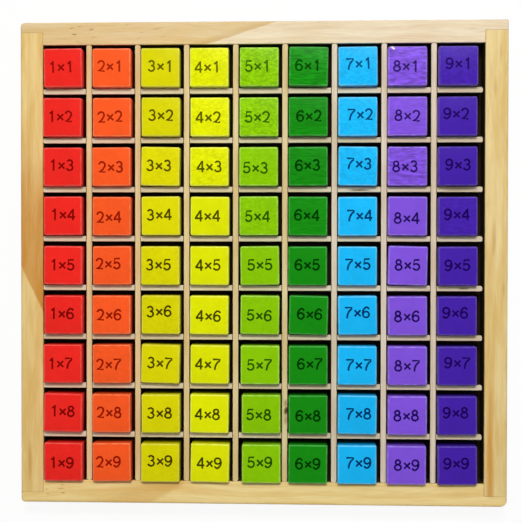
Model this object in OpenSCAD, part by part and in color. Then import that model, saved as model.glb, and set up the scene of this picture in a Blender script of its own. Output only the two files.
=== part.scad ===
// Multiplication board. A shallow pine tray holds a lattice of cross-halved
// dividers, and each of its eighty-one cells holds a painted wooden cube. The tray
// lies flat with the numbered faces up. The first table stands at the left and the
// products by one lie along the far rail.

/* [Cubes] */
// Edge length of a cube
cube_size = 17.8; // [16:0.2:20]
// Radius of a cube's rounded edges
cube_edge_r = 0.9; // [0.4:0.1:1.6]
// How far a cube stands out above the dividers
cube_stand_out = 4.3; // [1:0.1:7]
// Play of a cube in its cell, both sides together
cell_play = 2.3; // [1.2:0.1:2.6]
// Least gap between a cube and the divider that it leans on
lean_gap = 0.07; // [0.05:0.01:0.2]

/* [Dividers] */
// Thickness of a divider
divider_t = 2.5; // [2:0.1:4]
// Radius of the upright corners at the ends of a divider
divider_end_r = 0.8; // [0.3:0.1:0.9]
// Radius of the eased long edges of a divider
divider_arris_r = 0.3; // [0.1:0.05:0.5]
// Play of a halving slot over the divider that it straddles, both sides together
halving_play = 0.5; // [0.2:0.1:0.8]
// Gap between the end of a divider and the rail that it is set against
divider_end_gap = 0.1; // [0.05:0.05:0.3]
// Gap that a row divider, cut short, leaves at the right rail
short_end_gap = 1.1; // [0.4:0.1:2]
// Width that the last column has beyond the others
last_column_extra = 1.8; // [0:0.1:1.8]

/* [Frame] */
// Thickness of a rail, seen from above
rail_t = 10.5; // [9:0.1:14]
// How far the rails stand above the dividers
rail_lead = 0.4; // [0.1:0.1:2]
// Thickness of the lip that an end rail keeps over the end of a side rail
lip_t = 4.7; // [3.5:0.1:5]
// Gap in a glued joint of the frame
glue_gap = 0.1; // [0.05:0.05:0.2]
// Radius of the eased edges on the outside of the frame
outer_arris_r = 1; // [0.4:0.1:1.5]
// Radius of the eased edges round the opening
opening_arris_r = 0.5; // [0.2:0.1:0.8]
// Radius of the far left upright corner
far_left_r = 2.4; // [1:0.1:3.5]
// Radius of the far right upright corner
far_right_r = 1.2; // [1:0.1:3.5]
// Radius of the near right upright corner
near_right_r = 3.5; // [1:0.1:3.5]
// Radius of the near left upright corner
near_left_r = 2.2; // [1:0.1:3.5]

/* [Base panel] */
// Thickness of the base panel
base_t = 3; // [2:0.5:4]
// Height of the underside of the panel above the table
base_lift = 2.5; // [2:0.5:3.5]
// Depth of the grooves that hold the panel
groove_depth = 4; // [2.5:0.5:5]
// Gap between the panel and the bottom or top of its grooves
groove_gap = 0.15; // [0.05:0.05:0.3]

/* [Hidden] */
$fn = 48;
COUNT = 9;
CUT = 1;

// How the cubes have come to lie, as shares of the room that their cells leave them
MOST_TURN = 0.18;
FIRST_TABLE_DRIFT = 0.42;
SIDE_SCATTER = 0.2;
BACK_SCATTER = 0.08;
NUDGED_TABLE = 5;
ROW_NUDGE = 0.09;

cell = cube_size + cell_play;
pitch = cell + divider_t;
opening_y = COUNT * pitch - divider_t;
opening_x = opening_y + last_column_extra;
outer_x = opening_x + 2 * rail_t;
outer_y = opening_y + 2 * rail_t;

base_top = base_lift + base_t;
divider_h = cube_size - cube_stand_out;
rail_h = base_top + divider_h + rail_lead;
side_rail_l = outer_y - 2 * (lip_t + glue_gap);
slot_w = divider_t + halving_play;
slot_h = (divider_h + halving_play) / 2;

TABLES = ["red", "orange", "mustard", "lemon", "lime", "green", "blue", "lilac", "violet"];
PAINTS = [
    "#f02a26", "#f95c26", "#dcd604", "#e6ee03", "#89c403",
    "#168614", "#1eb6f5", "#8054d9", "#4424a2"
];
PINE = "#e2c48a";
DIVIDER_WOOD = "#ead0a0";
PANEL_WOOD = "#c9a36b";

// Left edge of a column's cell and near edge of a row's cell, from the middle
function cell_left(column) = (column - 1) * pitch - opening_x / 2;
function cell_near(row) = opening_y / 2 - (row - 1) * pitch - cell;

// A number from 0 to 1 that differs from cube to cube and stays the same at every build
function stray(column, row, salt) = (column * 37 + row * 71 + column * row * salt) % 23 / 23;

// Turn of a cube in its cell: most stand nearly square, a few are askew
function cube_turn(column, row) =
    asin(cell_play / cube_size) * MOST_TURN * pow(2 * stray(column, row, 5) - 1, 3);

// Half of the width that a turned cube takes up
function cube_reach(column, row) =
    cube_size / 2 * (cos(cube_turn(column, row)) + sin(abs(cube_turn(column, row))));

// Room that is left for a turned cube between its cell's walls
function cube_room(column, row) = cell - 2 * lean_gap - 2 * cube_reach(column, row);

// Share of that room by which a cube stands off the divider at its left: the first
// tables stand nearer the middle, and the lower lime cubes have been nudged along
function slide_right(column, row) =
    FIRST_TABLE_DRIFT * max(0, 1 - column / (COUNT - 1))
        + SIDE_SCATTER * stray(column, row, 3)
        + (column == NUDGED_TABLE ? ROW_NUDGE * max(0, row - 3) : 0);

// Share of that room by which a cube stands off the divider at its near side
function slide_back(column, row) = BACK_SCATTER * pow(stray(column, row, 11), 2);

// Middle of a cube on the board
function cube_place(column, row) = [
    cell_left(column) + lean_gap + cube_reach(column, row)
        + cube_room(column, row) * slide_right(column, row),
    cell_near(row) + lean_gap + cube_reach(column, row)
        + cube_room(column, row) * slide_back(column, row)
];

// What rounding takes off one corner of a profile, with the sharp corner at the origin
module corner_waste(r) {
    difference() {
        translate([-CUT, -CUT]) square(r + CUT);
        translate([r, r]) circle(r);
    }
}

// A rectangle from the origin whose corners are arcs, in order from the origin
// anticlockwise
module eased_rectangle(w, h, radii) {
    difference() {
        square([w, h]);
        corner_waste(radii[0]);
        translate([w, 0]) rotate(90) corner_waste(radii[1]);
        translate([w, h]) rotate(180) corner_waste(radii[2]);
        translate([0, h]) rotate(270) corner_waste(radii[3]);
    }
}

// Stands a profile up and runs it along X from the origin, its own x axis along Y
module run_along_x(length) {
    rotate([90, 0, 90]) linear_extrude(length) children();
}

// Stands a profile up and runs it along Y from the origin, its own x axis along X
module run_along_y(length) {
    translate([0, length, 0]) rotate([90, 0, 0]) linear_extrude(length) children();
}

// The profile of a rail, its outer face at the left, with the groove for the panel
module rail_profile() {
    difference() {
        eased_rectangle(rail_t, rail_h,
            [outer_arris_r, opening_arris_r, opening_arris_r, outer_arris_r]);
        translate([rail_t - groove_depth, base_lift])
            square([groove_depth + CUT, base_t + groove_gap]);
    }
}

// An end rail as wide as the frame, its outer face on the X axis and its inner face
// towards +Y. The two radii are those of its left and right corners.
module end_rail(left_r, right_r) {
    color(PINE)
        translate([-outer_x / 2, 0, 0])
            difference() {
                intersection() {
                    run_along_x(outer_x) rail_profile();
                    linear_extrude(rail_h)
                        eased_rectangle(outer_x, rail_t + right_r + left_r,
                            [left_r, right_r, right_r, left_r]);
                    run_along_y(rail_t)
                        eased_rectangle(outer_x, rail_h, [for (k = [1:4]) outer_arris_r]);
                }
                for (x = [-CUT, outer_x - rail_t - glue_gap])
                    translate([x, lip_t, -CUT])
                        cube([rail_t + glue_gap + CUT, rail_t, rail_h + 2 * CUT]);
            }
}

// A side rail between the lips of the end rails, its outer face on the Y axis and its
// inner face towards +X
module side_rail() {
    color(PINE)
        translate([0, -side_rail_l / 2, 0])
            run_along_y(side_rail_l) rail_profile();
}

module top_rail() {
    translate([0, outer_y / 2, 0]) rotate(180) end_rail(far_right_r, far_left_r);
}

module bottom_rail() {
    translate([0, -outer_y / 2, 0]) end_rail(near_left_r, near_right_r);
}

module left_rail() {
    translate([-outer_x / 2, 0, 0]) side_rail();
}

module right_rail() {
    translate([outer_x / 2, 0, 0]) rotate(180) side_rail();
}

// A thin plywood panel, let into the grooves on all four sides
module base_panel() {
    w = opening_x + 2 * (groove_depth - groove_gap);
    d = opening_y + 2 * (groove_depth - groove_gap);
    color(PANEL_WOOD)
        translate([-w / 2, -d / 2, base_lift])
            cube([w, d, base_t]);
}

// A divider blank from the origin along X, its near face on the X axis
module divider_blank(length) {
    intersection() {
        run_along_x(length)
            eased_rectangle(divider_t, divider_h, [for (k = [1:4]) divider_arris_r]);
        linear_extrude(divider_h)
            eased_rectangle(length, divider_t, [for (k = [1:4]) divider_end_r]);
    }
}

// A divider between two columns: it runs from the near rail to the far one, and its
// slots open downward
module column_divider(k) {
    length = opening_y - 2 * divider_end_gap;
    color(DIVIDER_WOOD)
        translate([cell_left(k) + cell, 0, base_top])
            difference() {
                translate([divider_t, -length / 2, 0]) rotate(90) divider_blank(length);
                for (row = [1:COUNT - 1])
                    translate([-CUT, cell_near(row) - divider_t - halving_play / 2, -CUT])
                        cube([divider_t + 2 * CUT, slot_w, slot_h + CUT]);
            }
}

// A divider between two rows: it runs from the left rail to just short of the right
// one, and its slots open upward
module row_divider(k) {
    length = opening_x - divider_end_gap - short_end_gap;
    color(DIVIDER_WOOD)
        translate([0, cell_near(k) - divider_t, base_top])
            difference() {
                translate([divider_end_gap - opening_x / 2, 0, 0]) divider_blank(length);
                for (column = [1:COUNT - 1])
                    translate([cell_left(column) + cell - halving_play / 2, -CUT, divider_h - slot_h])
                        cube([slot_w, divider_t + 2 * CUT, slot_h + CUT]);
            }
}

// A square profile with rounded corners, centred
module cube_profile() {
    translate([-cube_size, -cube_size] / 2)
        eased_rectangle(cube_size, cube_size, [for (k = [1:4]) cube_edge_r]);
}

// One cube, standing on the origin
module eased_cube() {
    translate([0, 0, cube_size / 2])
        intersection() {
            linear_extrude(cube_size, center = true) cube_profile();
            rotate([90, 0, 0]) linear_extrude(cube_size, center = true) cube_profile();
            rotate([0, 90, 0]) linear_extrude(cube_size, center = true) cube_profile();
        }
}

// The nine cubes of one table, which fill a column of cells
module table_of_cubes(column) {
    color(PAINTS[column - 1])
        for (row = [1:COUNT])
            translate([each cube_place(column, row), base_top])
                rotate(cube_turn(column, row))
                    eased_cube();
}

top_rail();
bottom_rail();
left_rail();
right_rail();
base_panel();
for (k = [1:COUNT - 1]) {
    column_divider(k);
    row_divider(k);
}
for (column = [1:COUNT])
    table_of_cubes(column);
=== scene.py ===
"""Looks of the multiplication board: a pine tray, halved dividers and printed cubes."""

import logging
import math
import random
from dataclasses import dataclass, field, replace
from enum import Enum
from typing import Any, Optional, Sequence

import bpy
from mathutils import Matrix, Vector


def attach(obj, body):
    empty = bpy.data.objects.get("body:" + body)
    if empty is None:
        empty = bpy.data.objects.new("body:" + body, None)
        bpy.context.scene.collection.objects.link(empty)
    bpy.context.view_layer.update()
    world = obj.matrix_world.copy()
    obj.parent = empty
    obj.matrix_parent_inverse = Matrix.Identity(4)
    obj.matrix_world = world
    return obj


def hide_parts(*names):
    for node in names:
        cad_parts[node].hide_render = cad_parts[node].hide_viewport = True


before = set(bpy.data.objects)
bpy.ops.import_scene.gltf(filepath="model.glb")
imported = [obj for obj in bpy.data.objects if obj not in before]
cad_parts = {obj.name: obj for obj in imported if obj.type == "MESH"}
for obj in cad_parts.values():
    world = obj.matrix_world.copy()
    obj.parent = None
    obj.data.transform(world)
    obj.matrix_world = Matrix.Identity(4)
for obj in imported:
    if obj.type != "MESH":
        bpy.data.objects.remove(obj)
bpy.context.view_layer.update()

MM = 0.001
IMAGE_PX = 522
ROWS = 9

log = logging.getLogger("multiplication_board")

Colour = tuple[float, float, float, float]
Triple = tuple[float, float, float]
Point = tuple[float, float]
Pair = tuple[float, float]
Tree = bpy.types.NodeTree
Socket = bpy.types.NodeSocket
Material = bpy.types.Material
Piece = bpy.types.Object

# Node settings that several materials share
SMOOTH = {"interpolation_type": "SMOOTHSTEP"}
OF_COLOURS = {"data_type": "RGBA"}
SEEDED = {"noise_dimensions": "4D"}
TIMES = {"operation": "MULTIPLY"}
TIMES_PLUS = {"operation": "MULTIPLY_ADD"}
SCALED = {"operation": "SCALE"}
HIGHER = {"operation": "MAXIMUM"}
# The radians that a wave texture turns through over one unit at a scale of 1
WAVE_RATE = 20
WHITE = (1.0, 1.0, 1.0, 1.0)


def linear(code: str) -> Colour:
    """Turn an sRGB hex colour to linear light.

    Args:
        code: A colour such as "#e2c48a".

    Returns:
        Red, green, blue and an alpha of 1.
    """
    parts = [int(code[i:i + 2], 16) / 255 for i in (1, 3, 5)]
    light = [c / 12.92 if c <= 0.04045 else ((c + 0.055) / 1.055) ** 2.4 for c in parts]
    return light[0], light[1], light[2], 1.0


def add_node(
    tree: Tree, kind: str, settings: Optional[dict[str, Any]] = None, **inputs: Any
) -> bpy.types.Node:
    """Add one node with its settings and its inputs.

    Args:
        tree: The node tree that gets the node.
        kind: The node's type, without the word ShaderNode.
        settings: Properties of the node itself.
        **inputs: One entry for each input that is set, named as the input with low
            letters and underscores, or as i and the input's number. An output socket
            is linked, and anything else becomes the input's value.

    Returns:
        The new node.
    """
    node = tree.nodes.new("ShaderNode" + kind)
    for name, value in (settings or {}).items():
        setattr(node, name, value)
    for name, value in inputs.items():
        if name[0] == "i" and name[1:].isdigit():
            socket = node.inputs[int(name[1:])]
        else:
            socket = next(s for s in node.inputs if s.name.lower().replace(" ", "_") == name)
        if isinstance(value, Socket):
            tree.links.new(value, socket)
        else:
            socket.default_value = value
    return node


def new_material(name: str) -> tuple[Material, Tree, bpy.types.Node]:
    """Make an empty material.

    Args:
        name: The name of the material.

    Returns:
        The material, its node tree and its output node.
    """
    material = bpy.data.materials.new(name)
    material.use_nodes = True
    tree = material.node_tree
    tree.nodes.clear()
    return material, tree, add_node(tree, "OutputMaterial")


def wear_only(piece: Piece, *materials: Material) -> None:
    """Give a piece these materials and no others.

    Args:
        piece: The piece.
        *materials: Its materials, in the order of their slots.
    """
    piece.data.materials.clear()
    for material in materials:
        piece.data.materials.append(material)


def select_only(piece: Piece) -> None:
    """Deselect everything, then select one object and make it active.

    Args:
        piece: The object.
    """
    bpy.ops.object.select_all(action="DESELECT")
    piece.select_set(True)
    bpy.context.view_layer.objects.active = piece


def join(pieces: Sequence[Piece]) -> Piece:
    """Join pieces into the first of them.

    Args:
        pieces: The pieces, and first the one that stays.

    Returns:
        The joined piece.
    """
    select_only(pieces[0])
    for piece in pieces[1:]:
        piece.select_set(True)
    bpy.ops.object.join()
    return pieces[0]


def white_share(tree: Tree, ray: bpy.types.Node, mirrored: Socket) -> Socket:
    """Work out where the studio is plain white: to the camera, in gloss, past clear things.

    Args:
        tree: The node tree of the paper or of the world.
        ray: Its Light Path node.
        mirrored: How much of the white shows in gloss.

    Returns:
        The share of plain white.
    """
    seen = add_node(tree, "Math", HIGHER, i0=ray.outputs["Is Camera Ray"], i1=mirrored)
    return add_node(
        tree, "Math", HIGHER, i0=seen.outputs[0], i1=ray.outputs["Is Transmission Ray"]
    ).outputs[0]


def apply_modifier(piece: Piece, kind: str, **settings: Any) -> None:
    """Add a modifier to a piece, set it and apply it.

    Args:
        piece: The piece that is shaped.
        kind: The modifier's type.
        **settings: Properties of the modifier.
    """
    select_only(piece)
    modifier = piece.modifiers.new(kind.title(), kind)
    for name, value in settings.items():
        setattr(modifier, name, value)
    bpy.ops.object.modifier_apply(modifier=modifier.name)


class Run(Enum):
    """The way that the grain of a piece of wood runs."""

    ALONG_X = "X"
    ALONG_Y = "Y"


@dataclass(frozen=True)
class Fleck:
    """A small dark mark in the wood, seen from above, in millimetres on the board.

    It leans by some degrees, its depth is the share of its own tint, and it reaches up
    and down from its height. Its outline is ragged.
    """

    x: float
    y: float
    length: float
    width: float = 0.6
    lean: float = 0.0
    depth: float = 0.6
    tint: str = "#7a5020"
    reach: float = 1.5
    height: float = 19.2
    ragged: float = 0.6


@dataclass(frozen=True)
class Flame:
    """A darker stretch of late wood that a rail's face cuts at a slant.

    It starts softly and ends at a clear edge. The places are in millimetres on the
    board, along the piece, where the edge crosses the middle of the board's own axis.
    The fibre frays it by some millimetres, and where it is faintest a share of its
    depth is left.
    """

    start: float
    end: float
    slant: float
    depth: float
    rise: float = 30.0
    fall: float = 2.5
    tint: str = "#c98f48"
    fray: float = 5.0
    faint: float = 0.7


@dataclass(frozen=True)
class PlanedPine:
    """Planed and sanded softwood.

    The face is pale and calm, with fine streaks of fibre that run along the piece and
    a few faint growth lines, which show as arcs where the end is cut. The surface is
    matt, and the fibre breaks up what shine there is. Deep in the tray's opening the
    colour is darkened as painted shade.
    """

    early: str = "#ecd8ae"
    late: str = "#d8b67c"
    cloud: str = "#d9b880"
    ring_mm: float = 4.5
    ring_share: float = 0.35
    ring_edge: Pair = (0.3, 0.97)
    heart_mm: Point = (14.0, -34.0)
    waver_mm: float = 6.0
    waver_per_mm: Triple = (0.016, 0.06, 0.06)
    cloud_share: float = 0.7
    cloud_edge: Pair = (0.36, 0.7)
    cloud_per_mm: Triple = (0.03, 0.22, 0.22)
    fibre_mm: float = 0.4
    fibre_stretch: float = 0.035
    fibre_share: float = 0.07
    relief_mm: float = 0.04
    roughness: float = 0.55
    specular: float = 0.3
    # The heights over which painted shade darkens the walls in the cells, and its darkest level
    painted_shade_mm: Pair = (16.8, 18.9)
    painted_shade_level: float = 0.06
    opening_mm: Point = (101.35, 100.45)
    opening_edge_mm: Pair = (0.05, 0.15)

    def make(
        self,
        name: str,
        run: Run,
        shift: float,
        flames: Sequence[Flame] = (),
        flecks: Sequence[Fleck] = (),
    ) -> Material:
        """Build the material for one piece of wood.

        Args:
            name: The name of the material.
            run: The way that the grain runs.
            shift: Moves the pattern along the trunk, in millimetres, so that no two
                pieces look alike.
            flames: The stretches of late wood that this piece shows.
            flecks: The marks that this piece has.

        Returns:
            The material.
        """
        material, tree, output = new_material(name)
        place = add_node(tree, "TexCoord").outputs["Object"]
        turn = 0.0 if run is Run.ALONG_X else -math.pi / 2
        board = add_node(
            tree, "Mapping", vector=place, rotation=(0, 0, turn), scale=(1 / MM, 1 / MM, 1 / MM)
        ).outputs[0]
        trunk = self.trunk_place(tree, board, shift)
        stretched = add_node(
            tree, "VectorMath", TIMES, i0=trunk,
            i1=(self.fibre_stretch / self.fibre_mm, 1 / self.fibre_mm, 1 / self.fibre_mm),
        ).outputs[0]
        fibre = add_node(
            tree, "TexNoise", vector=stretched, scale=1.0, detail=3.0, roughness=0.6
        ).outputs["Fac"]
        patch = add_node(tree, "VectorMath", TIMES, i0=trunk, i1=self.cloud_per_mm).outputs[0]
        clouds = add_node(tree, "TexNoise", vector=patch, scale=1.0, detail=3.0).outputs["Fac"]
        colour = self.calm_colour(tree, trunk, clouds)
        for flame in flames:
            share = self.flame_share(tree, board, clouds, fibre, flame)
            colour = add_node(
                tree, "Mix", OF_COLOURS, i0=share, i6=colour, i7=linear(flame.tint)
            ).outputs[2]
        for fleck in flecks:
            share = self.fleck_share(tree, place, fleck)
            colour = add_node(
                tree, "Mix", OF_COLOURS, i0=share, i6=colour, i7=linear(fleck.tint)
            ).outputs[2]
        fine = add_node(
            tree, "MapRange", value=fibre, from_min=0.3, from_max=0.7,
            to_min=1 - self.fibre_share, to_max=1 + self.fibre_share,
        ).outputs[0]
        # Painted shade: the walls deep in the cells are darkened
        depth_shade = self.painted_shade_factor(tree, place)
        shade = add_node(tree, "Math", TIMES, i0=fine, i1=depth_shade).outputs[0]
        grained = add_node(tree, "VectorMath", SCALED, i0=colour, i3=shade).outputs[0]
        bump = add_node(
            tree, "Bump", height=fibre, strength=0.4, distance=self.relief_mm * MM
        ).outputs[0]
        surface = add_node(
            tree, "BsdfPrincipled", base_color=grained, roughness=self.roughness,
            specular_ior_level=self.specular, normal=bump,
        )
        tree.links.new(surface.outputs[0], output.inputs[0])
        return material

    def trunk_place(self, tree: Tree, board: Socket, shift: float) -> Socket:
        """Work out where in the trunk the wood grew, with rings that waver.

        Args:
            tree: The material's node tree.
            board: The place on the board in millimetres, with the first axis along
                the piece.
            shift: How far along the trunk the piece was cut, in millimetres.

        Returns:
            The place in the trunk in millimetres, from its heart.
        """
        straight = add_node(
            tree, "VectorMath", {"operation": "ADD"}, i0=board, i1=(shift, *self.heart_mm)
        ).outputs[0]
        slow = add_node(tree, "VectorMath", TIMES, i0=straight, i1=self.waver_per_mm).outputs[0]
        sway = add_node(tree, "TexNoise", vector=slow, scale=1.0, detail=2.0)
        return add_node(
            tree, "VectorMath", TIMES_PLUS, i0=sway.outputs["Color"],
            i1=(0.0, self.waver_mm, self.waver_mm), i2=straight,
        ).outputs[0]

    def calm_colour(self, tree: Tree, trunk: Socket, clouds: Socket) -> Socket:
        """Mix the pale early wood with the late wood's lines and with darker clouds.

        Args:
            tree: The material's node tree.
            trunk: The place in the trunk.
            clouds: A slow noise along the grain.

        Returns:
            The colour of the wood without its marks.
        """
        rings = add_node(
            tree, "TexWave",
            {"wave_type": "RINGS", "rings_direction": "X", "wave_profile": "SAW"},
            vector=trunk, scale=2 * math.pi / (WAVE_RATE * self.ring_mm), distortion=0.0,
        ).outputs["Fac"]
        line = add_node(
            tree, "MapRange", SMOOTH, value=rings,
            from_min=self.ring_edge[0], from_max=self.ring_edge[1], to_max=self.ring_share,
        ).outputs[0]
        clouded = add_node(
            tree, "MapRange", SMOOTH, value=clouds,
            from_min=self.cloud_edge[0], from_max=self.cloud_edge[1], to_max=self.cloud_share,
        ).outputs[0]
        body = add_node(
            tree, "Mix", OF_COLOURS, i0=line, i6=linear(self.early), i7=linear(self.late)
        ).outputs[2]
        return add_node(
            tree, "Mix", OF_COLOURS, i0=clouded, i6=body, i7=linear(self.cloud)
        ).outputs[2]

    def painted_shade_factor(self, tree: Tree, place: Socket) -> Socket:
        """Work out the painted shade that darkens the wood deep in the cells.

        Args:
            tree: The material's node tree.
            place: The place on the board.

        Returns:
            The factor for the colour, 1 at the top and outside the tray's opening.
        """
        reach = add_node(tree, "VectorMath", {"operation": "ABSOLUTE"}, i0=place).outputs[0]
        past = add_node(
            tree, "VectorMath", {"operation": "SUBTRACT"},
            i0=reach, i1=(self.opening_mm[0] * MM, self.opening_mm[1] * MM, 1.0),
        ).outputs[0]
        x, y, _ = add_node(tree, "SeparateXYZ", vector=past).outputs
        most = add_node(tree, "Math", HIGHER, i0=x, i1=y).outputs[0]
        outside = add_node(
            tree, "MapRange", value=most, from_min=self.opening_edge_mm[0] * MM,
            from_max=self.opening_edge_mm[1] * MM,
        ).outputs[0]
        height = add_node(tree, "SeparateXYZ", vector=place).outputs["Z"]
        sunk = add_node(
            tree, "MapRange", SMOOTH, value=height,
            from_min=self.painted_shade_mm[0] * MM, from_max=self.painted_shade_mm[1] * MM,
            to_min=self.painted_shade_level, to_max=1.0,
        ).outputs[0]
        return add_node(tree, "Math", HIGHER, i0=outside, i1=sunk).outputs[0]

    @staticmethod
    def flame_share(
        tree: Tree, board: Socket, clouds: Socket, fibre: Socket, flame: Flame
    ) -> Socket:
        """Work out how much of one flame shows.

        Args:
            tree: The material's node tree.
            board: The place on the board in millimetres, with the first axis along
                the piece.
            clouds: A slow noise that breaks up the flame.
            fibre: The fine noise of the fibre, which frays its edge.
            flame: The flame.

        Returns:
            The share of the flame's own colour.
        """
        along = add_node(
            tree, "VectorMath", {"operation": "DOT_PRODUCT"}, i0=board,
            i1=(1.0, -flame.slant, 0.0),
        ).outputs["Value"]
        frayed = add_node(tree, "Math", TIMES_PLUS, i0=fibre, i1=flame.fray, i2=along).outputs[0]
        way = math.copysign(1.0, flame.end - flame.start)
        rising = add_node(
            tree, "MapRange", SMOOTH, value=frayed,
            from_min=flame.start, from_max=flame.start + way * flame.rise,
        ).outputs[0]
        falling = add_node(
            tree, "MapRange", SMOOTH, value=frayed,
            from_min=flame.end, from_max=flame.end - way * flame.fall,
        ).outputs[0]
        both = add_node(tree, "Math", TIMES, i0=rising, i1=falling).outputs[0]
        depth = add_node(
            tree, "MapRange", value=clouds, from_min=0.3, from_max=0.7,
            to_min=flame.depth * flame.faint, to_max=flame.depth,
        ).outputs[0]
        return add_node(tree, "Math", TIMES, i0=both, i1=depth).outputs[0]

    @staticmethod
    def fleck_share(tree: Tree, place: Socket, fleck: Fleck) -> Socket:
        """Work out how much of one fleck shows.

        Args:
            tree: The material's node tree.
            place: The place on the piece.
            fleck: The mark.

        Returns:
            The share of the fleck's own colour.
        """
        local = add_node(
            tree, "Mapping", {"vector_type": "TEXTURE"}, vector=place,
            location=(fleck.x * MM, fleck.y * MM, fleck.height * MM),
            rotation=(0, 0, math.radians(fleck.lean)),
            scale=(fleck.length / 2 * MM, fleck.width / 2 * MM, fleck.reach * MM),
        ).outputs[0]
        ragged = add_node(tree, "TexNoise", vector=local, scale=1.6, detail=2.0)
        bent = add_node(
            tree, "VectorMath", TIMES_PLUS,
            i0=ragged.outputs["Color"], i1=(fleck.ragged, fleck.ragged, 0.0), i2=local,
        ).outputs[0]
        centred = add_node(
            tree, "VectorMath", {"operation": "SUBTRACT"}, i0=bent,
            i1=(fleck.ragged / 2, fleck.ragged / 2, 0.0),
        ).outputs[0]
        far = add_node(tree, "VectorMath", {"operation": "LENGTH"}, i0=centred).outputs[1]
        return add_node(
            tree, "MapRange", SMOOTH, value=far,
            from_min=0.2, from_max=1.0, to_min=fleck.depth, to_max=0.0,
        ).outputs[0]


@dataclass(frozen=True)
class RotaryPly:
    """Thin plywood with a rotary-cut face.

    The peeled veneer gives broad, wandering figure in dull tan, with short dark pores
    and almost no shine. The inner face is darkened as painted shade, so the cells look deep.
    """

    pale: str = "#d9b98a"
    dark: str = "#b78d58"
    figure_mm: float = 26.0
    figure_stretch: float = 0.25
    figure_lines: float = 9.0
    pore_mm: float = 0.5
    pore_stretch: float = 0.08
    relief_mm: float = 0.05
    roughness: float = 0.7
    # Painted shade: the dark tint of the inner face, and where it fades in under its top
    shade_tint: str = "#2a1c12"
    inner_mm: float = 5.5
    shade_fade_mm: Pair = (0.6, 0.2)

    def make(self, name: str) -> Material:
        """Build the material, with the figure running along X.

        Args:
            name: The name of the material.

        Returns:
            The material.
        """
        material, tree, output = new_material(name)
        place = add_node(tree, "TexCoord").outputs["Object"]
        broad = add_node(
            tree, "Mapping", vector=place,
            scale=(
                self.figure_stretch / (self.figure_mm * MM), 1 / (self.figure_mm * MM), 1 / MM
            ),
        ).outputs[0]
        figure = add_node(
            tree, "TexNoise", vector=broad, scale=1.0, detail=2.0, distortion=0.6
        ).outputs["Fac"]
        contour = add_node(tree, "Math", TIMES, i0=figure, i1=self.figure_lines).outputs[0]
        folded = add_node(tree, "Math", {"operation": "PINGPONG"}, i0=contour, i1=0.5).outputs[0]
        share = add_node(tree, "MapRange", value=folded, from_max=0.5, to_max=0.8).outputs[0]
        fine = add_node(
            tree, "Mapping", vector=place,
            scale=(self.pore_stretch / (self.pore_mm * MM), 1 / (self.pore_mm * MM), 1 / MM),
        ).outputs[0]
        pore = add_node(tree, "TexNoise", vector=fine, scale=1.0, detail=3.0).outputs["Fac"]
        body = add_node(
            tree, "Mix", OF_COLOURS, i0=share, i6=linear(self.pale), i7=linear(self.dark)
        ).outputs[2]
        depth = add_node(
            tree, "MapRange", value=pore, from_min=0.3, from_max=0.6, to_min=0.82, to_max=1.04
        ).outputs[0]
        veneer = add_node(tree, "VectorMath", SCALED, i0=body, i3=depth).outputs[0]
        # Painted shade: the inner face is darkened so that the cells look deep
        height = add_node(tree, "SeparateXYZ", vector=place).outputs["Z"]
        inner = add_node(
            tree, "MapRange", value=height,
            from_min=(self.inner_mm - self.shade_fade_mm[0]) * MM,
            from_max=(self.inner_mm - self.shade_fade_mm[1]) * MM,
        ).outputs[0]
        colour = add_node(
            tree, "Mix", OF_COLOURS, i0=inner, i6=veneer, i7=linear(self.shade_tint)
        ).outputs[2]
        bump = add_node(
            tree, "Bump", height=pore, strength=0.4, distance=self.relief_mm * MM
        ).outputs[0]
        surface = add_node(
            tree, "BsdfPrincipled", base_color=colour, roughness=self.roughness, normal=bump
        )
        tree.links.new(surface.outputs[0], output.inputs[0])
        return material


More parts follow.
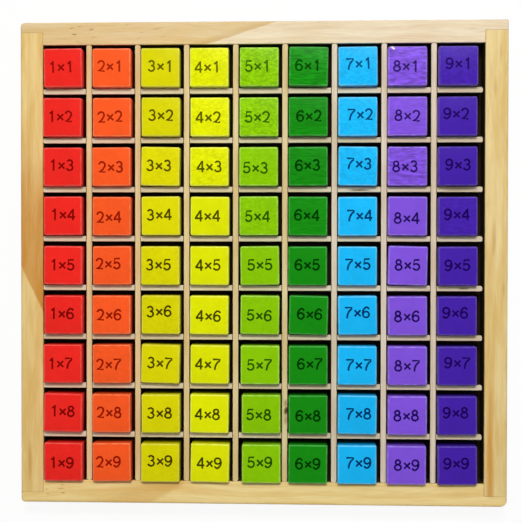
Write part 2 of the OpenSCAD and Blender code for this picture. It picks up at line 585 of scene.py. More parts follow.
@dataclass(frozen=True)
class GlossPaint:
    """Gloss paint, dipped or sprayed on a sanded wooden cube.

    The colour is strong and even. The grain of the wood shows through as a faint
    mottle or as short ridges, more on some cubes than on others, and the skin has a
    fine orange peel. The paint is thin at the rounded edges, where it turns lighter,
    and this lighter rim is also a painted highlight. Down the sides the colour is
    darkened as painted shade.
    """

    colour: str
    ink: str
    rim: str
    stretch: float = 0.6
    grain_mm: float = 1.05
    grain_edge: Pair = (0.34, 0.66)
    grain_tone: float = 0.34
    grain_relief: float = 0.5
    peel_mm: float = 0.7
    relief_mm: float = 0.05
    cloud_mm: float = 6.25
    cloud_tone: Pair = (0.96, 1.04)
    seed_span: float = 57.0
    rim_from_mm: Pair = (8.0, 8.45)
    rim_to_mm: Pair = (8.6, 8.9)
    rim_patch_per_mm: float = 0.35
    # How strongly the lighter rim shows, thin paint and a painted highlight, from patch to patch
    rim_strength: Pair = (0.2, 0.7)
    # Painted shade: where the cube's sides darken downwards, and how dark they get
    painted_shade_mm: Pair = (2.4, 5.6)
    painted_shade_level: float = 0.15
    film_patch_per_mm: float = 2.2
    film_thin: float = 0.93
    roughness: float = 0.3
    specular: float = 0.3
    ink_specular: float = 0.1
    bare: str = "#fbf2ea"
    chip_mm: Triple = (-6.8, 8.3, 8.7)
    chip_half_mm: Triple = (1.4, 0.5, 1.6)
    chip_lean: float = -36.0

    def make(self, name: str, printed: bool) -> Material:
        """Build the paint, or the ink that is printed on it.

        Args:
            name: The name of the material.
            printed: True for the ink.

        Returns:
            The material.
        """
        material, tree, output = new_material(name)
        place = add_node(tree, "Attribute", {"attribute_name": "cube_mm"}).outputs["Vector"]
        traits = add_node(tree, "Attribute", {"attribute_name": "cube_traits"})
        split = add_node(tree, "SeparateXYZ", vector=traits.outputs["Vector"])
        seed, grain_share, tone = split.outputs
        moved = add_node(tree, "Math", TIMES, i0=seed, i1=self.seed_span).outputs[0]
        line = self.grain_line(tree, place, moved)
        lined = add_node(tree, "Math", TIMES, i0=line, i1=grain_share).outputs[0]
        level = add_node(
            tree, "Math", TIMES_PLUS, i0=lined, i1=self.grain_tone, i2=tone
        ).outputs[0]
        cloud = add_node(
            tree, "TexNoise", SEEDED, vector=place, w=moved, scale=1 / self.cloud_mm, detail=2.0
        ).outputs["Fac"]
        clouded = add_node(
            tree, "MapRange", value=cloud, from_min=0.3, from_max=0.7,
            to_min=self.cloud_tone[0], to_max=self.cloud_tone[1],
        ).outputs[0]
        shade = add_node(tree, "Math", TIMES, i0=level, i1=clouded).outputs[0]
        # Painted shade: the sides darken downwards from just under the top
        height = add_node(tree, "SeparateXYZ", vector=place).outputs["Z"]
        sunk = add_node(
            tree, "MapRange", SMOOTH, value=height, from_min=self.painted_shade_mm[0],
            from_max=self.painted_shade_mm[1], to_min=self.painted_shade_level, to_max=1.0,
        ).outputs[0]
        strength = add_node(tree, "Math", TIMES, i0=shade, i1=sunk).outputs[0]
        dressed = self.ink_colour if printed else self.coat_colour
        colour = add_node(
            tree, "VectorMath", SCALED, i0=dressed(tree, place, moved), i3=strength
        ).outputs[0]
        peel = add_node(
            tree, "TexNoise", SEEDED, vector=place, w=moved, scale=1 / self.peel_mm, detail=1.5
        ).outputs["Fac"]
        ridges = add_node(
            tree, "Math", TIMES_PLUS, i0=lined, i1=self.grain_relief, i2=peel
        ).outputs[0]
        bump = add_node(
            tree, "Bump", height=ridges, strength=0.35, distance=self.relief_mm * MM
        ).outputs[0]
        surface = add_node(
            tree, "BsdfPrincipled", base_color=colour, roughness=self.roughness,
            specular_ior_level=self.ink_specular if printed else self.specular, normal=bump,
        )
        tree.links.new(surface.outputs[0], output.inputs[0])
        return material

    def grain_line(self, tree: Tree, place: Socket, moved: Socket) -> Socket:
        """Work out the ridges of the grain that the paint covers.

        Args:
            tree: The material's node tree.
            place: The place on the cube from its middle, in millimetres.
            moved: A number that differs from cube to cube.

        Returns:
            The ridges, from -1 to 1.
        """
        waved = add_node(
            tree, "VectorMath", TIMES, i0=place,
            i1=(self.stretch / self.grain_mm, 1 / self.grain_mm, 1 / self.grain_mm),
        ).outputs[0]
        grain = add_node(
            tree, "TexNoise", SEEDED, vector=waved, w=moved, scale=1.0, detail=1.5, distortion=0.6
        ).outputs["Fac"]
        return add_node(
            tree, "MapRange", value=grain,
            from_min=self.grain_edge[0], from_max=self.grain_edge[1], to_min=-1.0,
        ).outputs[0]

    def ink_colour(self, tree: Tree, place: Socket, moved: Socket) -> Socket:
        """Mix the ink with what shows of the paint through its thin film.

        Args:
            tree: The material's node tree.
            place: The place on the cube from its middle, in millimetres.
            moved: A number that differs from cube to cube.

        Returns:
            The colour.
        """
        uneven = add_node(
            tree, "TexNoise", SEEDED, vector=place, w=moved,
            scale=self.film_patch_per_mm, detail=3.0,
        ).outputs["Fac"]
        film = add_node(
            tree, "MapRange", value=uneven, from_min=0.36, from_max=0.62,
            to_min=1.0, to_max=self.film_thin,
        ).outputs[0]
        # Painted sheen: the ink is paler in the first rows
        sheen_cover = add_node(tree, "Attribute", {"attribute_name": "ink_press"}).outputs["Fac"]
        cover = add_node(tree, "Math", TIMES, i0=film, i1=sheen_cover).outputs[0]
        return add_node(
            tree, "Mix", OF_COLOURS, i0=cover, i6=linear(self.colour), i7=linear(self.ink)
        ).outputs[2]

    def coat_colour(self, tree: Tree, place: Socket, moved: Socket) -> Socket:
        """Mix the paint with its lighter rim, which is thin paint and a painted highlight, and
        with bare wood where it is chipped.

        Args:
            tree: The material's node tree.
            place: The place on the cube from its middle, in millimetres.
            moved: A number that differs from cube to cube.

        Returns:
            The colour.
        """
        # The rim is thin paint and a painted highlight on the rounded edges
        thin = self.rim_paint_and_highlight_share(tree, place, moved)
        coat = add_node(
            tree, "Mix", OF_COLOURS, i0=thin, i6=linear(self.colour), i7=linear(self.rim)
        ).outputs[2]
        chip = self.chip_share(tree, place)
        return add_node(
            tree, "Mix", OF_COLOURS, i0=chip, i6=coat, i7=linear(self.bare)
        ).outputs[2]

    def rim_paint_and_highlight_share(self, tree: Tree, place: Socket, moved: Socket) -> Socket:
        """Work out the lighter rim from the place on the cube: thin paint and a painted
        highlight.

        Args:
            tree: The material's node tree.
            place: The place on the cube from its middle, in millimetres.
            moved: A number that differs from cube to cube.

        Returns:
            The share of the rim's colour, highest on the rounded edges.
        """
        reach = add_node(tree, "VectorMath", {"operation": "ABSOLUTE"}, i0=place).outputs[0]
        x, y, _ = add_node(tree, "SeparateXYZ", vector=reach).outputs
        most = add_node(tree, "Math", HIGHER, i0=x, i1=y).outputs[0]
        inner = add_node(
            tree, "MapRange", SMOOTH, value=most,
            from_min=self.rim_from_mm[0], from_max=self.rim_from_mm[1],
        ).outputs[0]
        outer = add_node(
            tree, "MapRange", SMOOTH, value=most,
            from_min=self.rim_to_mm[0], from_max=self.rim_to_mm[1], to_min=1.0, to_max=0.0,
        ).outputs[0]
        uneven = add_node(
            tree, "TexNoise", SEEDED, vector=place, w=moved,
            scale=self.rim_patch_per_mm, detail=1.0,
        ).outputs["Fac"]
        patchy = add_node(
            tree, "MapRange", value=uneven, from_min=0.32, from_max=0.62,
            to_min=self.rim_strength[0], to_max=self.rim_strength[1],
        ).outputs[0]
        band = add_node(tree, "Math", TIMES, i0=inner, i1=outer).outputs[0]
        return add_node(tree, "Math", TIMES, i0=band, i1=patchy).outputs[0]

    def chip_share(self, tree: Tree, place: Socket) -> Socket:
        """Work out where the paint is chipped off, at the far edge near the left corner.

        Args:
            tree: The material's node tree.
            place: The place on the cube from its middle, in millimetres.

        Returns:
            The share of the bare wood, nil on a cube that isn't chipped.
        """
        chipped = add_node(tree, "Attribute", {"attribute_name": "paint_chip"}).outputs["Fac"]
        local = add_node(
            tree, "Mapping", {"vector_type": "TEXTURE"}, vector=place,
            location=self.chip_mm, rotation=(0, 0, math.radians(self.chip_lean)),
            scale=self.chip_half_mm,
        ).outputs[0]
        far = add_node(tree, "VectorMath", {"operation": "LENGTH"}, i0=local).outputs[1]
        spot = add_node(
            tree, "MapRange", SMOOTH, value=far,
            from_min=0.6, from_max=1.1, to_min=1.0, to_max=0.0,
        ).outputs[0]
        return add_node(tree, "Math", TIMES, i0=spot, i1=chipped).outputs[0]


@dataclass(frozen=True)
class PaperSweep:
    """White studio paper: it fills the picture with white and keeps a soft shadow."""

    colour: str = "#f4f4f2"
    white_level: float = 0.92

    def make(self) -> Material:
        """Build the material of the floor.

        Returns:
            The material.
        """
        material, tree, output = new_material("white_studio_paper")
        ray = add_node(tree, "LightPath")
        shown = white_share(tree, ray, ray.outputs["Is Glossy Ray"])
        share = add_node(tree, "Math", TIMES, i0=shown, i1=self.white_level).outputs[0]
        paper = add_node(tree, "BsdfDiffuse", color=linear(self.colour)).outputs[0]
        white = add_node(tree, "Emission", color=WHITE, strength=1.0).outputs[0]
        mixed = add_node(tree, "MixShader", i0=share, i1=paper, i2=white).outputs[0]
        tree.links.new(mixed, output.inputs[0])
        return material


@dataclass(frozen=True)
class Arc:
    """A stretch of a pen stroke: part of an ellipse, in steps of some degrees."""

    x: float
    y: float
    rx: float
    ry: float
    start: float
    end: float
    step: float = 12.0

    def points(self) -> list[Point]:
        """Work out the points along the arc.

        Returns:
            The points, from the start to the end.
        """
        count = max(2, round(abs(self.end - self.start) / self.step) + 1)
        turns = [
            math.radians(self.start + (self.end - self.start) * k / (count - 1))
            for k in range(count)
        ]
        return [(self.x + self.rx * math.cos(t), self.y + self.ry * math.sin(t)) for t in turns]


@dataclass(frozen=True)
class Corner:
    """A single point of a pen stroke."""

    x: float
    y: float

    def points(self) -> list[Point]:
        """Return the point in a list."""
        return [(self.x, self.y)]


# The plain numerals as pen strokes, with a height of 1 from the foot line
STROKES: dict[str, tuple[tuple[Any, ...], ...]] = {
    "1": (
        (Corner(0.44, 0.0), Corner(0.44, 1.0)),
        (Corner(0.44, 0.93), Arc(0.10, 1.06, 0.34, 0.33, -28, -72)),
    ),
    "2": (
        (Arc(0.35, 0.68, 0.26, 0.26, 172, -28), Arc(-0.12, 0.62, 0.66, 0.58, -20, -60),
         Corner(0.08, 0.065), Corner(0.66, 0.065)),
    ),
    "3": (
        (Arc(0.34, 0.72, 0.22, 0.22, 158, -70), Corner(0.30, 0.53)),
        (Corner(0.30, 0.53), Arc(0.34, 0.29, 0.26, 0.235, 72, -166)),
    ),
    "4": (
        (Corner(0.51, 0.0), Corner(0.51, 1.0)),
        (Corner(0.50, 0.95), Corner(0.07, 0.31)),
        (Corner(0.02, 0.29), Corner(0.70, 0.29)),
    ),
    "5": (
        (Corner(0.63, 0.93), Corner(0.20, 0.93), Corner(0.12, 0.50),
         Arc(0.35, 0.33, 0.27, 0.265, 130, -162)),
    ),
    "6": (
        (Arc(0.40, 0.72, 0.22, 0.22, 12, 110), Arc(0.42, 0.46, 0.34, 0.46, 118, 205)),
        (Arc(0.36, 0.32, 0.26, 0.255, 0, 360),),
    ),
    "7": (
        (Corner(0.05, 0.93), Corner(0.64, 0.93), Arc(0.99, 0.0, 0.76, 0.92, 118, 180)),
    ),
    "8": ((Arc(0.35, 0.745, 0.20, 0.19, 0, 360),), (Arc(0.35, 0.295, 0.265, 0.23, 0, 360),)),
    "×": ((Corner(0.14, 0.18), Corner(0.66, 0.70)), (Corner(0.14, 0.70), Corner(0.66, 0.18))),
}


@dataclass
class NumberStamp:
    """The rubber stamp that prints a sum on a cube: numerals with one pen width.

    The signs are drawn with a height of 1, and the pen, the steps from sign to sign
    and the ribbon's thickness are on that scale.
    """

    height_mm: float = 5.25
    pen_share: float = 0.16
    numeral_advance: float = 0.74
    times_advance: float = 0.77
    bearing: float = 0.03
    nine_at: Point = (0.70, 0.995)
    ribbon: float = 0.02
    film_mm: float = 0.05
    glyphs: dict[str, bpy.types.Mesh] = field(default_factory=dict)

    def stroke(self, parts: Sequence[Any]) -> Piece:
        """Lay one pen stroke as a flat ribbon and give it the thickness of the film.

        Args:
            parts: The arcs and corners of the stroke, in order.

        Returns:
            The stroke as a closed mesh.
        """
        points = [p for part in parts for p in part.points()]
        closed = math.dist(points[0], points[-1]) < 1e-6
        if closed:
            points.pop()
        curve = bpy.data.curves.new("stroke", "CURVE")
        curve.dimensions = "3D"
        curve.twist_mode = "Z_UP"
        curve.extrude = self.pen_share / 2
        spline = curve.splines.new("POLY")
        spline.points.add(len(points) - 1)
        for at, (x, y) in zip(spline.points, points):
            at.co = (x, y, 0, 1)
            at.tilt = math.pi / 2
        spline.use_cyclic_u = closed
        ribbon = bpy.data.objects.new("stroke", curve)
        bpy.context.scene.collection.objects.link(ribbon)
        select_only(ribbon)
        bpy.ops.object.convert(target="MESH")
        ribbon = bpy.context.object
        apply_modifier(ribbon, "SOLIDIFY", thickness=self.ribbon, offset=0.0)
        bpy.ops.object.mode_set(mode="EDIT")
        bpy.ops.mesh.select_all(action="SELECT")
        bpy.ops.mesh.remove_doubles(threshold=1e-5)
        bpy.ops.mesh.normals_make_consistent(inside=False)
        bpy.ops.object.mode_set(mode="OBJECT")
        return ribbon

    def glyph(self, sign: str) -> bpy.types.Mesh:
        """Cut one sign, or find the one that is already cut. A nine is a turned six.

        Args:
            sign: The sign.

        Returns:
            Its mesh.
        """
        if sign in self.glyphs:
            return self.glyphs[sign]
        if sign == "9":
            mesh = self.glyph("6").copy()
            turned = Matrix.Rotation(math.pi, 4, "Z")
            mesh.transform(Matrix.Translation((*self.nine_at, 0)) @ turned)
        else:
            first, *others = [self.stroke(parts) for parts in STROKES[sign]]
            for other in others:
                apply_modifier(first, "BOOLEAN", operation="UNION", object=other, solver="EXACT")
                bpy.data.objects.remove(other)
            mesh = first.data.copy()
            bpy.data.objects.remove(first)
        self.glyphs[sign] = mesh
        return mesh

    def lay(self, text: str) -> Piece:
        """Set a sum such as 3×4 in one line, centred on the origin, at its real size.

        Args:
            text: The signs of the sum.

        Returns:
            One object that holds all the signs.
        """
        step = [self.times_advance if sign == "×" else self.numeral_advance for sign in text]
        size = self.height_mm * MM
        made = []
        for k, sign in enumerate(text):
            mesh = self.glyph(sign).copy()
            left = sum(step[:k]) - sum(step) / 2
            mesh.transform(
                Matrix.Diagonal((size, size, self.film_mm * MM / self.ribbon, 1))
                @ Matrix.Translation((left + self.bearing, -0.5, 0))
            )
            made.append(bpy.data.objects.new("sign", mesh))
            bpy.context.scene.collection.objects.link(made[-1])
        return join(made)


@dataclass(frozen=True)
class Seat:
    """Where a cube stands: its middle at the bottom, and its turn."""

    x: float
    y: float
    z: float
    turn: float


@dataclass
class CubeTable:
    """The nine cubes of one table, each a painted cube with its sum on top.

    A jig sets the sums a little off the middle and each print strays from there. The ink
    is paler in the first rows, as a painted sheen. The grain shows through on a few
    showy cubes, and a chipped cube has lost a flake of its paint.
    """

    node: str
    paint: GlossPaint
    column: int
    stamp: NumberStamp
    size_mm: float = 17.8
    edge_mm: float = 0.9
    print_drop_mm: float = 0.03
    print_left_mm: float = 0.4
    print_back_mm: float = 0.4
    jig_mm: Point = (0.0, 0.0)
    stray_mm: Point = (0.4, 0.36)
    stray_deg: float = 0.8
    # How full the ink is, row by row: paler in the first rows as a painted sheen
    sheen_cover: tuple[float, ...] = (0.9, 0.94, 0.96, 0.98, 1.0, 1.0, 0.98, 1.0, 1.0)
    calm_grain: float = 0.05
    grain_swing: float = 0.11
    tone_swing: float = 0.035
    smooth_deg: float = 40.0
    showy: dict[int, float] = field(default_factory=dict)
    chipped: tuple[int, ...] = ()

    def seats(self) -> list[Seat]:
        """Read from the frame where the nine cubes stand.

        Returns:
            The places, from the first row on.
        """
        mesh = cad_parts[self.node].data
        corners = sorted((v.co.copy() for v in mesh.vertices), key=lambda co: (-co.y, co.x))
        pitch = (corners[0].y - corners[-1].y - self.size_mm * MM) / (ROWS - 1)
        first = corners[0].y - self.size_mm * MM / 2
        # Just under half a pitch, so that no corner of the next cube is taken along
        reach = pitch * 0.48
        found = []
        for row in range(ROWS):
            near = [co for co in corners if abs(co.y - (first - row * pitch)) < reach]
            low = Vector(min(co[i] for co in near) for i in range(3))
            high = Vector(max(co[i] for co in near) for i in range(3))
            x, y = (low.x + high.x) / 2, (low.y + high.y) / 2
            found.append(Seat(x, y, low.z, self.turn_of(near)))
        return found

    def turn_of(self, corners: Sequence[Vector]) -> float:
        """Work out how far a cube is turned, from the straight edges of its top.

        Args:
            corners: The vertices of the cube's solid.

        Returns:
            The turn in radians, positive anticlockwise.
        """
        high = max(co.z for co in corners)
        top = [co for co in corners if high - co.z < 1e-6]
        right = sorted(top, key=lambda co: -co.x - co.y)[0]
        left = sorted(top, key=lambda co: co.x - co.y)[0]
        return math.atan2(right.y - left.y, right.x - left.x)

    def blank(self) -> Piece:
        """Model one unpainted cube on the origin: sawn, then rounded at every edge.

        Returns:
            The cube.
        """
        size = self.size_mm * MM
        bpy.ops.object.select_all(action="DESELECT")
        bpy.ops.mesh.primitive_cube_add(size=size, location=(0, 0, size / 2))
        cube = bpy.context.object
        bpy.ops.object.transform_apply(location=True, rotation=True, scale=True)
        bpy.ops.object.mode_set(mode="EDIT")
        bpy.ops.mesh.select_all(action="SELECT")
        bpy.ops.mesh.bevel(offset=self.edge_mm * MM, segments=5, profile=0.5, affect="EDGES")
        bpy.ops.object.mode_set(mode="OBJECT")
        return cube

    def build(self) -> list[Piece]:
        """Build, print and dress the nine cubes.

        Returns:
            The nine pieces.
        """
        paint = self.paint.make(f"gloss_paint_{self.node}", printed=False)
        ink = self.paint.make(f"stamped_ink_{self.node}", printed=True)
        blank = self.blank()
        pieces = []
        for row, seat in enumerate(self.seats(), start=1):
            draw = random.Random(self.column * 10 + row)
            mesh = blank.data.copy()
            # The wood stops just short of the solid's top, which leaves room for the ink
            drop = 1 - self.print_drop_mm / self.size_mm
            mesh.transform(Matrix.Diagonal((1, 1, drop, 1)))
            cube = bpy.data.objects.new(f"{self.node[:-1]}_{row}", mesh)
            bpy.context.scene.collection.objects.link(cube)
            wear_only(cube, paint)
            join([cube, self.print_sum(row, ink, draw)])
            self.note_traits(cube, draw, row)
            turn = Matrix.Rotation(seat.turn, 4, "Z")
            cube.data.transform(Matrix.Translation((seat.x, seat.y, seat.z)) @ turn)
            select_only(cube)
            bpy.ops.object.shade_smooth_by_angle(angle=math.radians(self.smooth_deg))
            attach(cube, "root")
            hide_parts(self.node)
            pieces.append(cube)
        bpy.data.objects.remove(blank)
        return pieces

    def print_sum(self, row: int, ink: Material, draw: random.Random) -> Piece:
        """Print one sum at the height of the cube's top.

        Args:
            row: The row that the cube stands in.
            ink: The ink.
            draw: Gives this cube's own random numbers.

        Returns:
            The film of ink.
        """
        label = self.stamp.lay(f"{self.column}×{row}")
        slip = Matrix.Translation((
            (draw.gauss(0, self.stray_mm[0]) - self.print_left_mm + self.jig_mm[0]) * MM,
            (draw.gauss(0, self.stray_mm[1]) + self.print_back_mm + self.jig_mm[1]) * MM,
            (self.size_mm - self.stamp.film_mm / 2) * MM,
        ))
        slant = Matrix.Rotation(math.radians(draw.gauss(0, self.stray_deg)), 4, "Z")
        label.data.transform(slip @ slant)
        wear_only(label, ink)
        return label

    def note_traits(self, cube: Piece, draw: random.Random, row: int) -> None:
        """Write on the mesh what the paint reads: the place on the cube and its traits.

        Args:
            cube: The cube, still on the origin.
            draw: Gives this cube's own random numbers.
            row: The row that the cube stands in.
        """
        mesh = cube.data
        kinds = {
            "cube_mm": "FLOAT_VECTOR", "cube_traits": "FLOAT_VECTOR",
            "ink_press": "FLOAT", "paint_chip": "FLOAT",
        }
        for name, kind in kinds.items():
            mesh.attributes.new(name, kind, "POINT")
        place, traits, sheen_cover, chip = (mesh.attributes[name] for name in kinds)
        seed = draw.random()
        grain = self.showy.get(row, self.calm_grain + self.grain_swing * draw.random() ** 2)
        tone = 1.0 + draw.uniform(-self.tone_swing, self.tone_swing)
        for k, vertex in enumerate(mesh.vertices):
            x, y, z = vertex.co / MM
            place.data[k].vector = (x, y, z - self.size_mm / 2)
            traits.data[k].vector = (seed, grain, tone)
            sheen_cover.data[k].value = self.sheen_cover[row - 1]
            chip.data[k].value = float(row in self.chipped)


@dataclass(frozen=True)
class Rail:
    """One rail of the tray: its grain, its place on the trunk and its marks."""

    run: Run
    shift: float
    pine: PlanedPine
    flames: tuple[Flame, ...] = ()
    flecks: tuple[Fleck, ...] = ()


@dataclass
class Tray:
    """The glued pine frame and the thin panel in its grooves."""

    rails: dict[str, Rail]
    panel: RotaryPly

    def dress(self) -> list[Piece]:
        """Give each rail its own cut of pine, and the panel its veneer.

        Returns:
            The five pieces.
        """
        pieces = []
        for name, rail in self.rails.items():
            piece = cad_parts[name]
            wear_only(piece, rail.pine.make(
                f"planed_pine_{name}", rail.run, rail.shift, rail.flames, rail.flecks
            ))
            pieces.append(piece)
        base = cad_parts["base_panel"]
        wear_only(base, self.panel.make("rotary_plywood"))
        return pieces + [base]


@dataclass
class DividerLattice:
    """The sixteen halved strips that part the cells."""

    woods: dict[str, PlanedPine]
    knots: dict[str, tuple[Fleck, ...]]
    cut_every_mm: float = 130.0
    rows_from_mm: float = 2000.0

    def dress(self) -> list[Piece]:
        """Give each strip its own cut of pale pine.

        Returns:
            The sixteen pieces.
        """
        pieces = []
        kinds = (
            ("column_divider", Run.ALONG_Y, 0.0), ("row_divider", Run.ALONG_X, self.rows_from_mm)
        )
        for kind, run, start in kinds:
            for k in range(1, ROWS):
                name = f"{kind}_{k}"
                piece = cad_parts[name]
                shift = self.cut_every_mm * k + start
                wear_only(piece, self.woods[name].make(
                    f"pale_pine_{name}", run, shift, flecks=self.knots.get(name, ())
                ))
                pieces.append(piece)
        return pieces


@dataclass(frozen=True)
class Lamp:
    """A flat lamp: where it hangs, its size, and whether it lights only the gloss."""

    name: str
    place_mm: Triple
    size_mm: Pair
    watts: float
    glossy: bool = False


@dataclass
class Studio:
    """The camera above the board, the paper under it and the soft lights."""

    camera_mm: Triple = (21.6, 8.2, 530.0)
    camera_turn_deg: Triple = (-0.79, 2.48, 0.07)
    focal_px: float = 1114.5
    sensor_mm: float = 36.0
    clip_m: Pair = (0.01, 20.0)
    paper_m: float = 6.0
    paper_drop_mm: float = 0.2
    world_level: float = 0.10
    ceiling_from: float = 0.35
    ceiling_to: float = 0.75
    ceiling_level: float = 0.06
    lamps: tuple[Lamp, ...] = (
        Lamp("overhead_soft_box", (10.0, 240.0, 900.0), (900.0, 700.0), 3.45),
        Lamp("key", (30.0, 330.0, 850.0), (150.0, 110.0), 4.85),
        Lamp("gleam", (70.0, 290.0, 400.0), (300.0, 60.0), 0.4, glossy=True),
    )

    def set_camera(self) -> None:
        """Place the camera nearly straight above the board, as the photograph has it."""
        data = bpy.data.cameras.new("camera")
        data.sensor_width = self.sensor_mm
        data.lens = self.focal_px * self.sensor_mm / IMAGE_PX
        data.clip_start, data.clip_end = self.clip_m
        camera = bpy.data.objects.new("camera", data)
        bpy.context.scene.collection.objects.link(camera)
        camera.location = Vector(self.camera_mm) * MM
        camera.rotation_euler = [math.radians(turn) for turn in self.camera_turn_deg]
        bpy.context.scene.camera = camera

    def lay_paper(self) -> None:
        """Lay the white paper that the board lies on."""
        bpy.ops.object.select_all(action="DESELECT")
        bpy.ops.mesh.primitive_plane_add(
            size=self.paper_m, location=(0, 0, -self.paper_drop_mm * MM)
        )
        floor = bpy.context.object
        floor.name = "paper"
        wear_only(floor, PaperSweep().make())

    def hang_lights(self) -> None:
        """Hang the lamps over the far side of the board, each turned to its middle."""
        for lamp in self.lamps:
            data = bpy.data.lights.new(lamp.name, "AREA")
            data.shape = "RECTANGLE"
            data.size, data.size_y = (length * MM for length in lamp.size_mm)
            data.energy = lamp.watts
            data.cycles.use_multiple_importance_sampling = lamp.glossy
            hung = bpy.data.objects.new(lamp.name, data)
            bpy.context.scene.collection.objects.link(hung)
            hung.visible_glossy = lamp.glossy
            hung.visible_diffuse = not lamp.glossy
            hung.location = Vector(lamp.place_mm) * MM
            hung.rotation_euler = (-hung.location).to_track_quat("-Z", "Y").to_euler()

    def set_world(self) -> None:
        """Surround the board with even light that the camera sees as white."""
        world = bpy.data.worlds.new("world")
        bpy.context.scene.world = world
        world.use_nodes = True
        tree = world.node_tree
        tree.nodes.clear()
        ray = add_node(tree, "LightPath")
        away = add_node(tree, "TexCoord").outputs["Generated"]
        height = add_node(tree, "SeparateXYZ", vector=away).outputs["Z"]
        low = add_node(
            tree, "MapRange", SMOOTH, value=height,
            from_min=self.ceiling_from, from_max=self.ceiling_to,
            to_min=1.0, to_max=self.ceiling_level,
        ).outputs[0]
        mirrored = add_node(
            tree, "Math", TIMES, i0=ray.outputs["Is Glossy Ray"], i1=low
        ).outputs[0]
        shown = white_share(tree, ray, mirrored)
        even = add_node(tree, "Background", color=WHITE, strength=self.world_level).outputs[0]
        white = add_node(tree, "Background", color=WHITE, strength=1.0).outputs[0]
        mixed = add_node(tree, "MixShader", i0=shown, i1=even, i2=white).outputs[0]
        output = add_node(tree, "OutputWorld")
        tree.links.new(mixed, output.inputs[0])

    def build(self) -> None:
        """Set up the whole studio."""
        scene = bpy.context.scene
        scene.view_settings.view_transform = "Standard"
        self.set_camera()
        self.lay_paper()
        self.hang_lights()
        self.set_world()


# The rails' woods and marks, each mark where the board has it, in millimetres
RAILS = {
    "top_rail": Rail(
        Run.ALONG_X, 0.0, PlanedPine(early="#ebdbbc", late="#dbbe92", cloud="#dec49e"),
        flames=(
            Flame(-700.0, -340.6, 3.17, 0.75, 60.0, 2.0, "#d7b572"),
            Flame(-353.0, -340.6, 3.17, 0.35, 9.0, 1.5, "#b98a4a"),
        ),
        flecks=(
            Fleck(-87.9, 108.2, 3.7, 0.6, 8), Fleck(-84.2, 109.0, 2.7, 0.5, 8),
            Fleck(-78.7, 107.6, 3.7, 0.7, 15, 0.75), Fleck(-86.7, 105.3, 3.2, 0.8, 3, 0.8),
            Fleck(-77.8, 103.9, 3.7, 0.5, 8, 0.3), Fleck(-85.1, 102.2, 2.7, 0.5, 8, 0.3),
            Fleck(-48.0, 107.8, 7.5, 0.8, 12, 0.3), Fleck(-55.4, 106.0, 4.5, 0.6, 10, 0.25),
            Fleck(-56.7, 103.5, 4.5, 0.6, 10, 0.25), Fleck(-45.7, 103.9, 3.7, 0.6, 10, 0.25),
            Fleck(-62.2, 109.7, 2.7, 0.6, 15, 0.25), Fleck(96.3, 111.2, 2.7, 0.5, 5, 0.3),
            Fleck(95.3, 106.7, 8.0, 0.6, 5, 0.25), Fleck(99.9, 105.3, 6.0, 0.6, 5, 0.2),
        ),
    ),
    "bottom_rail": Rail(
        Run.ALONG_X, 400.0, PlanedPine(early="#f2d998", late="#e0b763", cloud="#e4be70"),
        flames=(Flame(106.8, 146.0, 1.74, 0.6, 24.0, 5.0, "#d29d45"),),
        flecks=(
            Fleck(-92.5, -101.0, 3.7, 0.6, 3), Fleck(-92.5, -102.7, 3.5, 0.5, -5),
            Fleck(-99.8, -104.9, 1.5, 0.6, 8), Fleck(-93.1, -104.5, 5.0, 0.6, 5),
            Fleck(-92.2, -106.5, 3.5, 0.7, -3), Fleck(-99.3, -107.0, 2.5, 0.5, 8),
        ),
    ),
    "left_rail": Rail(
        Run.ALONG_Y, 800.0, PlanedPine(
            early="#e8cb8a", late="#d6ac5a", cloud="#d8af60", ring_share=0.22,
        ),
        flames=(Flame(-145.8, -227.8, 2.04, 0.85, 50.0, 2.5, "#c17a14"),),
        flecks=(Fleck(-107.6, -91.5, 26.0, 2.4, 90, 0.45, "#bd8136", 6.0),),
    ),
    "right_rail": Rail(
        Run.ALONG_Y, 1200.0, PlanedPine(
            early="#e8d094", late="#d6b164", cloud="#d7b060", ring_share=0.22,
        ),
        flecks=(
            Fleck(104.0, -92.0, 100.0, 4.6, 90, 0.8, "#cd9034", 9.0),
            Fleck(105.4, 11.0, 24.0, 2.6, 90, 0.45, "#c08a42", 6.0),
            Fleck(110.0, -12.0, 12.0, 1.6, 90, 0.4, "#c08a42", 6.0),
            Fleck(108.2, 96.0, 14.0, 1.6, 90, 0.35, "#a98f52", 6.0),
            Fleck(105.9, 80.0, 11.0, 1.6, 90, 0.35, "#b98d4c", 6.0),
        ),
    ),
}
WARM_STRIP = PlanedPine(
    early="#e0cb9c", late="#cdae74", cloud="#cbac72", ring_mm=2.0, heart_mm=(9.0, -14.0),
    waver_mm=2.5, fibre_mm=0.25, fibre_share=0.05, roughness=0.62,
)
PALE_STRIP = replace(WARM_STRIP, early="#e2d3bb", late="#cdb797", cloud="#cbb595")
DULL_STRIP = replace(WARM_STRIP, early="#dccfb4", late="#c6b28e", cloud="#c8b490")
STRIP_WOODS = {
    **{f"column_divider_{k}": WARM_STRIP for k in (1, 2, 3, 4, 5)},
    **{f"column_divider_{k}": PALE_STRIP for k in (6, 7, 8)},
    **{f"row_divider_{k}": DULL_STRIP for k in range(1, ROWS)},
}
STRIP_KNOTS = {
    "column_divider_5": (
        Fleck(10.8, -64.2, 5.0, 2.2, 90, 0.65, "#94683a", 2.0),
        Fleck(10.9, -71.6, 7.0, 2.2, 90, 0.55, "#94683a", 2.0),
        Fleck(11.1, -67.6, 5.6, 2.9, 80, 0.95, "#4a2a0c", 2.0),
    ),
    "row_divider_3": (
        Fleck(44.5, 33.6, 14.0, 1.6, 0, 0.85, "#5d4a22", 2.0),
        Fleck(89.5, 33.9, 24.0, 2.0, 0, 0.65, "#6d5a30", 2.0),
    ),
    "row_divider_5": (Fleck(92.0, -11.3, 7.0, 1.6, 0, 0.7, "#5d4a28", 2.0),),
}
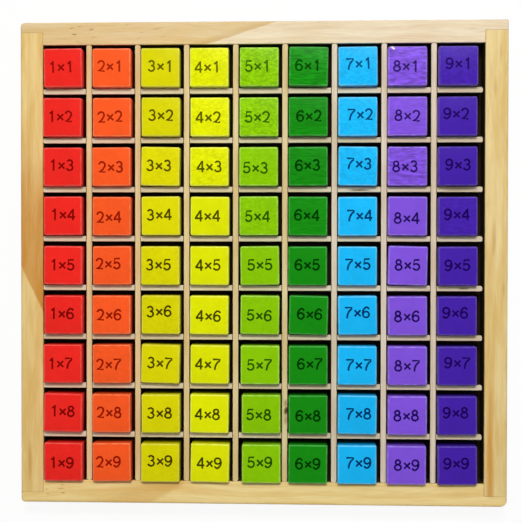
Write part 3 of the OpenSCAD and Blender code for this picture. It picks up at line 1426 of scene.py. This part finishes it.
# Each table's node, its paint, ink and rim, and where its jig sets the print
TABLES = (
    ("red_cubes", GlossPaint("#f02820", "#780200", "#f66a62"), (-0.15, -0.1)),
    ("orange_cubes", GlossPaint("#fb5a22", "#900a00", "#ff9868"), (-0.75, -0.1)),
    ("mustard_cubes", GlossPaint("#dcd600", "#362400", "#ece862"), (0.15, 0.25)),
    ("lemon_cubes", GlossPaint("#e2e800", "#302a00", "#f8fc74"), (-0.3, -0.5)),
    ("lime_cubes", GlossPaint("#88c500", "#124600", "#c2f06c"), (-0.5, -0.45)),
    ("green_cubes", GlossPaint("#128a0c", "#002800", "#54b856", 0.15, 0.6), (0.4, 0.0)),
    ("blue_cubes", GlossPaint("#18b8f8", "#00205c", "#86dcfc"), (0.85, 0.3)),
    ("lilac_cubes", GlossPaint("#8052da", "#0c004e", "#b098ee", 0.15, 0.6), (-0.05, -0.5)),
    ("violet_cubes", GlossPaint("#4420a6", "#1a0054", "#6c58b0"), (0.0, 0.5)),
)
# How strongly the grain shows on the showy cubes, by column and row
SHOWY_GRAIN = {
    4: {1: 0.3, 2: 0.28, 3: 0.3}, 5: {1: 0.65, 2: 0.62, 3: 0.25, 4: 0.3},
    6: {1: 1.0, 2: 0.55, 3: 0.55, 4: 0.4}, 7: {1: 0.35, 2: 0.35, 3: 0.35},
    8: {1: 1.0, 2: 0.4, 3: 0.9}, 9: {1: 0.5, 4: 0.45},
}
# The rows of the chipped cubes, by column
CHIPPED = {8: (1,)}


def report(pieces: Sequence[Piece]) -> None:
    """Log each piece with the number of its faces."""
    for piece in pieces:
        log.info("%s: %d faces", piece.name, len(piece.data.polygons))


def main() -> None:
    """Build the studio, then the board from its tray to its cubes."""
    logging.basicConfig(level=logging.INFO, format="%(message)s")
    Studio().build()
    report(Tray(RAILS, RotaryPly()).dress())
    report(DividerLattice(STRIP_WOODS, STRIP_KNOTS).dress())
    stamp = NumberStamp()
    for column, (node, paint, jig) in enumerate(TABLES, start=1):
        table = CubeTable(
            node, paint, column, stamp, jig_mm=jig,
            showy=SHOWY_GRAIN.get(column, {}), chipped=CHIPPED.get(column, ()),
        )
        report(table.build())


if __name__ == "__main__":
    main()
